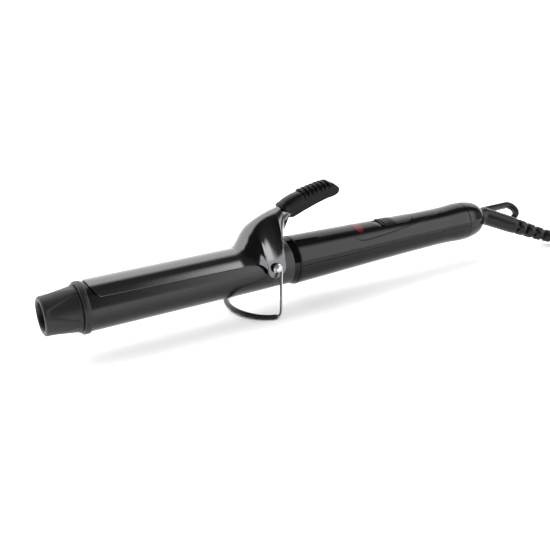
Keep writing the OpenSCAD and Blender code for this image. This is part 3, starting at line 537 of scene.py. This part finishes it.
stations = sorted(set([12, 12.06, 12.15, 12.3, 12.6] + list(np.linspace(14, 58, 24))
                      + [58.69, 58.71] + [float(round(v, 3)) for v in PANEL_LINE[1:-1, 0]]
                      + list(np.linspace(59.02, 59.9, 12)) + list(np.linspace(149, 151.28, 16)) + [151.31]
                      + list(np.linspace(153, 170, 18)) + [170.4, 170.7, 170.85, 170.94, 171]))
shells = {"upper": [], "lower": []}
for side in (-1, 1):
    rows = []
    for x in stations:
        r, w = handle_r(x) - shell_end(x), panel_w(x)
        a0 = math.asin(min(w / r, 0.99))
        lip = 0.12 / r if w else 0.0
        line = [(a0, -SHELL_T if w else 0.0), (a0 + lip * 0.1, -0.1 if w else 0.0), (a0 + lip, 0.0)]
        line += [(a0 + lip + (math.pi / 2 - 0.02 - a0 - lip) * f, 0.0) for f in np.linspace(0, 1, 40)[1:]]
        line += [(math.pi / 2 - 0.012, -0.05), (math.pi / 2 - 0.0095, -0.14), (math.pi / 2 - 0.009, -0.6)]
        rows.append([(x, side * (r + d) * math.sin(a), (r + d) * math.cos(a)) for a, d in line])
    rows = np.array(rows)
    shells["upper"].append(loft("shell_side", rows if side < 0 else rows[:, ::-1], "handle_gloss", around=False,
                                cap=False))
rows = []
for x in stations:
    r = handle_r(x) - shell_end(x)
    line = [(math.pi / 2 + 0.009, -0.6), (math.pi / 2 + 0.0095, -0.14), (math.pi / 2 + 0.012, -0.05)]
    line += [(math.pi / 2 + 0.02 + (math.pi - 0.04) * f, 0.0) for f in np.linspace(0, 1, 90)]
    line += [(3 * math.pi / 2 - 0.012, -0.05), (3 * math.pi / 2 - 0.0095, -0.14), (3 * math.pi / 2 - 0.009, -0.6)]
    rows.append([(x, (r + d) * math.sin(a), (r + d) * math.cos(a)) for a, d in line])
shells["lower"].append(loft("shell_low", np.array(rows)[:, ::-1], "handle_gloss", around=False, cap=False))
for half_name in ("upper", "lower"):
    o = join("handle_" + half_name + "_skin", shells[half_name], "handle_gloss")
    work = bmesh.new()
    work.from_mesh(o.data)
    bmesh.ops.remove_doubles(work, verts=work.verts, dist=0.000004)
    bmesh.ops.dissolve_degenerate(work, edges=work.edges, dist=0.000002)
    bmesh.ops.recalc_face_normals(work, faces=work.faces)
    work.to_mesh(o.data)
    work.free()
    keep_sharp(o, 35)
    place(o, "iron", "handle_" + half_name)

cap_line = catmull(CAP_KEYS, 8)
cap_rows = [(171.0, 13.6), (171.0, 14.85), (171.05, 15.0), (171.14, 15.1), (171.32, 15.18)]
cap_rows += [tuple(v) for v in cap_line if v[0] > 171.4] + [(191.95, 7.7), (191.9, 7.4), (191.5, 7.3), (187, 7.3)]
cap_rows += [(187, 10.5), (180, 13.0)]
place(turned("rear_cap_skin", cap_rows, "handle_gloss", sharp=32), "iron", "rear_cap")

# front ring of the handle: a dark gap, a narrow cone and a bead against the shells
place(turned("handle_ring_skin", [(7.0, 14.4), (7.0, 15.5), (7.15, 15.75), (7.4, 15.92), (10.2, 17.0), (10.5, 17.07),
                                  (10.62, 16.95), (10.7, 16.7), (10.9, 16.7), (10.98, 17.1), (11.1, 17.3),
                                  (11.35, 17.38), (11.8, 17.38), (11.94, 17.3), (12.0, 17.1), (12.0, 15.6),
                                  (9, 14.4)], "handle_gloss"), "iron", "handle_ring")

# domed pivot rivets
rivet_line = [(14, 1.5), (21.88, 1.5), (21.9, 2.1), (21.98, 2.25), (22.12, 2.32), (22.3, 2.27), (22.5, 2.05),
              (22.66, 1.7), (22.76, 1.2), (22.8, 0.6), (22.8, 0.02)]
rivets = []
for side in (-1, 1):
    turns = np.linspace(0, 2 * np.pi, 48, endpoint=False)
    rivets.append(loft("rivet", [[(PIVOT[0] + r * math.cos(t), side * y, PIVOT[1] + r * side * math.sin(t))
                                  for t in turns] for y, r in rivet_line], "steel", sharp=35))
place(join("pivot_rivets_skin", rivets, "steel"), "iron", "pivot_rivets")

# ---------------- swivel boot with its hang loop ----------------
BOOT_TURN = math.radians(50)
BOOT_X, BOOT_LEN, BEND = 198.8, 29.7, math.radians(33)
KNUCKLE_R = 7.1
VOXEL = 0.0004


def swivelled(points):
    """Points (x, across, up) of the swivel's own plane, turned with it."""
    q = np.array(points, float)
    s_, c_ = math.sin(BOOT_TURN), math.cos(BOOT_TURN)
    return np.stack([q[:, 0], q[:, 1] * c_ + q[:, 2] * s_, -q[:, 1] * s_ + q[:, 2] * c_], 1)


bent = np.array((math.cos(BEND), 0, -math.sin(BEND)))
elbow = np.array((BOOT_X, 0, 0))
first = tube("boot_root", swivelled([(185.4, 0, 0), (186.6, 0, 0), (187.0, 0, 0), (188.2, 0, 0), (188.6, 0, 0),
                                     (194, 0, 0), (BOOT_X, 0, 0), (BOOT_X + 1.2, 0, 0)]),
             [6.6, 6.95, 6.95, 6.9, 6.75, 6.8, 6.95, 6.4], "boot_rubber", sides=48)
arm_steps = [elbow + bent * v for v in (-1.5, 0, 2, 8, 16, 24, 27.6, 28.0, 28.8, 29.2, 29.7)]
second = tube("boot_arm", swivelled(arm_steps), [6.2, 7.0, 6.97, 6.9, 6.8, 6.7, 6.6, 6.3, 6.3, 6.55, 6.3],
              "boot_rubber", sides=48)
ball = []
for v in np.linspace(-1, 1, 25):
    ball.append((BOOT_X + KNUCKLE_R * v, KNUCKLE_R * math.sqrt(max(1 - v * v, 0.0004))))
knuckle = loft("boot_knuckle", [swivelled([(x, r * math.sin(t), r * math.cos(t))
                                           for t in np.linspace(0, 2 * np.pi, 48, endpoint=False)])
                                for x, r in ball], "boot_rubber")
LOOP_MID = np.array((228.2, -1.1))
LOOP_R, STRAP_T, STRAP_W = 8.4, 5.0, 4.6
mid_r = LOOP_R - STRAP_T / 2
centre = [(BOOT_X - 1 + (LOOP_MID[0] - BOOT_X + 1) * f, LOOP_MID[1] + mid_r) for f in np.linspace(0, 1, 14)]
centre += [tuple(LOOP_MID + mid_r * np.array((math.cos(math.radians(a)), math.sin(math.radians(a)))))
           for a in range(82, -61, -8)]
tail_way = np.array((-math.sin(math.radians(60)), -math.cos(math.radians(60))))
end = np.array(centre[-1])
centre += [tuple(end + tail_way * v) for v in (1.5, 3, 4.5)]
centre = np.array(centre)
heading_2d = np.gradient(centre, axis=0)
heading_2d /= np.linalg.norm(heading_2d, axis=1)[:, None]
side_2d = np.stack([-heading_2d[:, 1], heading_2d[:, 0]], 1)
corner_steps = [(signed_power(math.cos(t), 0.45), signed_power(math.sin(t), 0.45))
                for t in np.linspace(0, 2 * np.pi, 24, endpoint=False)]
strap_rings = []
for i, (c, n2) in enumerate(zip(centre, side_2d)):
    thick = STRAP_T / 2 * (1.0 if 0 < i < len(centre) - 1 else 0.9)
    strap_rings.append(swivelled([(c[0] + n2[0] * thick * v, STRAP_W / 2 * u, c[1] + n2[1] * thick * v)
                                  for u, v in corner_steps]))
strap = loft("boot_strap", strap_rings, "boot_rubber")
boot = join("swivel_boot_skin", [first, second, knuckle, strap], "boot_rubber")
remesh = boot.modifiers.new("remesh", "REMESH")
remesh.mode = "VOXEL"
remesh.voxel_size = VOXEL
relax = boot.modifiers.new("relax", "SMOOTH")
relax.factor = 0.6
relax.iterations = 5
bpy.context.view_layer.objects.active = boot
for modifier in ("remesh", "relax"):
    bpy.ops.object.modifier_apply(modifier=modifier)
keep_sharp(boot, 60)
boot.data.materials.clear()
boot.data.materials.append(M["boot_rubber"])
place(boot, "cord_swivel", "swivel_boot")

# ---------------- strain relief: open ribs on a core ----------------
tip_at = swivelled([elbow + bent * BOOT_LEN])[0]
bend_way = swivelled([bent])[0]
relief_p = [tip_at, tip_at + 20 * bend_way, np.array((250, -25, 4.6 - AXIS_H)), np.array((262, -38, 4.2 - AXIS_H))]


def relief_at(t):
    return ((1 - t) ** 3 * relief_p[0] + 3 * (1 - t) ** 2 * t * relief_p[1] + 3 * (1 - t) * t * t * relief_p[2]
            + t ** 3 * relief_p[3])


path_t = np.linspace(0, 1, 400)
path_p = np.array([relief_at(t) for t in path_t])
path_s = np.concatenate([[0], np.cumsum(np.linalg.norm(np.diff(path_p, axis=0), axis=1))])
whole = path_s[-1]
RIBS = 6
pitch = whole / RIBS


def on_relief(d):
    return np.array([np.interp(d, path_s, path_p[:, k]) for k in range(3)])


marks, sizes = [], []
for i in range(RIBS):
    a, b = i * pitch + 1.9, (i + 1) * pitch - 0.4
    big = 6.45 - 2.4 * (i + 0.6) / RIBS
    low = 3.9 - 0.5 * i / RIBS
    for d, r in ((a - 1.6, low), (a - 0.06, low), (a, low + 0.3), (a + 0.03, big - 0.5), (a + 0.2, big - 0.15),
                 (a + 0.55, big), ((a + b) / 2, big - 0.05), (b - 0.55, big - 0.12), (b - 0.2, big - 0.3),
                 (b - 0.03, big - 0.65), (b, low + 0.3), (b + 0.06, low)):
        marks.append(on_relief(max(d, 0)))
        sizes.append(r)
marks.append(on_relief(whole))
sizes.append(3.2)
relief_parts = [tube("relief_ribs", marks, sizes, "boot_rubber", sides=40)]
for i in range(RIBS):
    low_end, high_end = max(i * pitch - 0.9, 0), i * pitch + 2.6
    a, b = on_relief(low_end), on_relief(high_end)
    d = (b - a) / np.linalg.norm(b - a)
    u = np.cross(d, (0, 0, 1))
    u /= np.linalg.norm(u)
    v = np.cross(u, d)
    tilt = math.radians(-35 if i % 2 else 10)
    w = math.cos(tilt) * u + math.sin(tilt) * v
    out = (6.5 - 2.4 * i / RIBS) - 1.7
    for sign in (-1, 1):
        relief_parts.append(tube("relief_bridge", [a + w * out * sign + d * f * np.linalg.norm(b - a)
                                                   for f in np.linspace(0, 1, 6)], 1.25, "boot_rubber", sides=12))
relief = join("strain_relief_skin", relief_parts, "boot_rubber")
place(relief, "cord_swivel", "strain_relief")

# ---------------- plug ----------------
PLUG = np.array((292.0, -37.0, 31.0))
sections = []
for d, w, h, power in ((0, 3.7, 3.7, 1), (0.3, 4.1, 4.1, 1), (1.6, 4.2, 4.2, 1), (1.9, 3.9, 3.9, 1),
                       (3.4, 4.0, 4.0, 1), (3.7, 4.5, 4.5, 1), (5.2, 4.6, 4.6, 1), (5.5, 4.2, 4.2, 1),
                       (7.0, 4.3, 4.3, 1), (7.3, 4.8, 4.8, 1), (8.8, 4.9, 4.9, 1), (9.1, 4.5, 4.5, 1),
                       (11, 4.8, 4.8, 1), (12.6, 5.6, 5.1, 0.95), (13.8, 8, 5.6, 0.9), (15.5, 12, 6.2, 0.75),
                       (18, 14.8, 6.7, 0.65), (24, 16.6, 6.9, 0.6), (34, 17.2, 6.95, 0.6), (44, 17.4, 6.95, 0.6),
                       (48.8, 17.4, 6.95, 0.6), (49.6, 17.2, 6.75, 0.6), (50, 16.7, 6.3, 0.6)):
    ring = []
    for t in np.linspace(0, 2 * np.pi, 64, endpoint=False):
        c, q = math.cos(t), math.sin(t)
        ring.append((PLUG[0] + d - JOINT_X, PLUG[1] + w * signed_power(c, power),
                     PLUG[2] + h * signed_power(q, power) - AXIS_H))
    sections.append(ring)
plug = place(loft("plug_body_skin", sections, "plug_plastic", sharp=40), "cord_swivel", "plug_body")

# ---------------- CAD nodes keep their shapes and get detailed materials ----------------
for part in frame["record"]["subparts"]:
    node = frame["nodes"][part["node"]]
    node.data.materials.clear()
    node.data.materials.append(M[part["material_slot"]])

# ---------------- floor and light ----------------
REAR_LIGHT, BOX_LIGHT, STUDIO_LIGHT, SUN_LIGHT, LOW_LIGHT = 1.9, 3.3, 0.12, 3.0, 3.2
bpy.ops.mesh.primitive_plane_add(size=30, location=(0, 0, -0.0002))
floor = bpy.context.object
floor.name = "floor"
paper = bpy.data.materials.new("floor_white")
paper.use_nodes = True
paper_surface = paper.node_tree.nodes["Principled BSDF"]
paper_surface.inputs["Base Color"].default_value = (0.9, 0.9, 0.9, 1)
paper_surface.inputs["Roughness"].default_value = 0.9
floor.data.materials.append(paper)

world = bpy.data.worlds.new("world")
world.use_nodes = True
sky = world.node_tree
direction = sky.nodes.new("ShaderNodeTexCoord")
parts = sky.nodes.new("ShaderNodeSeparateXYZ")
sky.links.new(direction.outputs["Generated"], parts.inputs[0])


def fade(source, low, high, a, b):
    """A smooth change of value from a to b while source goes from low to high."""
    f = sky.nodes.new("ShaderNodeMapRange")
    f.interpolation_type = "SMOOTHSTEP"
    for socket, value in zip(("From Min", "From Max", "To Min", "To Max"), (low, high, a, b)):
        f.inputs[socket].default_value = value
    sky.links.new(source, f.inputs["Value"])
    return f.outputs["Result"]


def blend_values(how, a, b):
    f = sky.nodes.new("ShaderNodeMath")
    f.operation = how
    sky.links.new(a, f.inputs[0])
    sky.links.new(b, f.inputs[1])
    return f.outputs[0]


# seen along the iron: a bright paper roll behind it, a dark strip overhead, a long soft box in front of the
# handle that ends before the barrel, and a dim studio elsewhere
square = blend_values("ADD", blend_values("MULTIPLY", parts.outputs["Y"], parts.outputs["Y"]),
                      blend_values("MULTIPLY", parts.outputs["Z"], parts.outputs["Z"]))
root = sky.nodes.new("ShaderNodeMath")
root.operation = "SQRT"
sky.links.new(square, root.inputs[0])
lean = blend_values("DIVIDE", parts.outputs["Y"], root.outputs[0])
rear = fade(lean, 0.14, 0.46, 0.0, REAR_LIGHT)
box = blend_values("MULTIPLY", fade(lean, -0.58, -0.2, BOX_LIGHT, 0.0), blend_values(
    "MULTIPLY", fade(parts.outputs["X"], 0.3, 0.5, 0.0, 1.0), fade(parts.outputs["X"], 0.72, 0.88, 1.0, 0.12)))
rest = fade(parts.outputs["X"], -0.35, 0.35, STUDIO_LIGHT * 0.35, STUDIO_LIGHT)
total = blend_values("ADD", blend_values("ADD", rear, box), rest)
sky.links.new(total, sky.nodes["Background"].inputs["Strength"])
sky.nodes["Background"].inputs["Color"].default_value = (1, 1, 1, 1)
bpy.context.scene.world = world


def broad_sun(name, strength, spread, lean_back):
    """A wide soft sun that lights surfaces but isn't mirrored in them; lean_back is its angle from overhead."""
    data = bpy.data.lights.new(name, "SUN")
    data.energy = strength
    data.angle = math.radians(spread)
    o = bpy.data.objects.new(name, data)
    o.rotation_euler = (math.radians(-lean_back), 0, 0)
    o.visible_glossy = False
    bpy.context.scene.collection.objects.link(o)


broad_sun("overhead", SUN_LIGHT, 120, 25)
broad_sun("rear_low", LOW_LIGHT, 25, 62)
bpy.context.scene.view_settings.view_transform = "Standard"

# white paper roll all round, which the camera sees beyond the floor's edge
DOME_R, DOME_SIDES, DOME_LEVELS = 14.0, 64, 16
dome_rings = [[(DOME_R * math.cos(h) * math.cos(t), DOME_R * math.cos(h) * math.sin(t), DOME_R * math.sin(h) - 0.3)
               for t in np.linspace(0, 2 * np.pi, DOME_SIDES, endpoint=False)]
              for h in np.linspace(0, math.pi / 2 - 0.001, DOME_LEVELS)]
dome_faces = [(i * DOME_SIDES + k, i * DOME_SIDES + (k + 1) % DOME_SIDES, (i + 1) * DOME_SIDES + (k + 1) % DOME_SIDES,
               (i + 1) * DOME_SIDES + k) for i in range(DOME_LEVELS - 1) for k in range(DOME_SIDES)]
dome_mesh = bpy.data.meshes.new("backdrop")
dome_mesh.from_pydata([p for ring in dome_rings for p in ring], [], dome_faces)
dome = bpy.data.objects.new("backdrop", dome_mesh)
bpy.context.scene.collection.objects.link(dome)
glow = bpy.data.materials.new("backdrop_white")
glow.use_nodes = True
glow_surface = glow.node_tree.nodes["Principled BSDF"]
glow_surface.inputs["Base Color"].default_value = (0, 0, 0, 1)
glow_surface.inputs["Emission Color"].default_value = (1, 1, 1, 1)
glow_surface.inputs["Emission Strength"].default_value = 1.0
dome_mesh.materials.append(glow)
dome.visible_diffuse = False
dome.visible_glossy = False
dome.visible_transmission = False
dome.visible_shadow = False
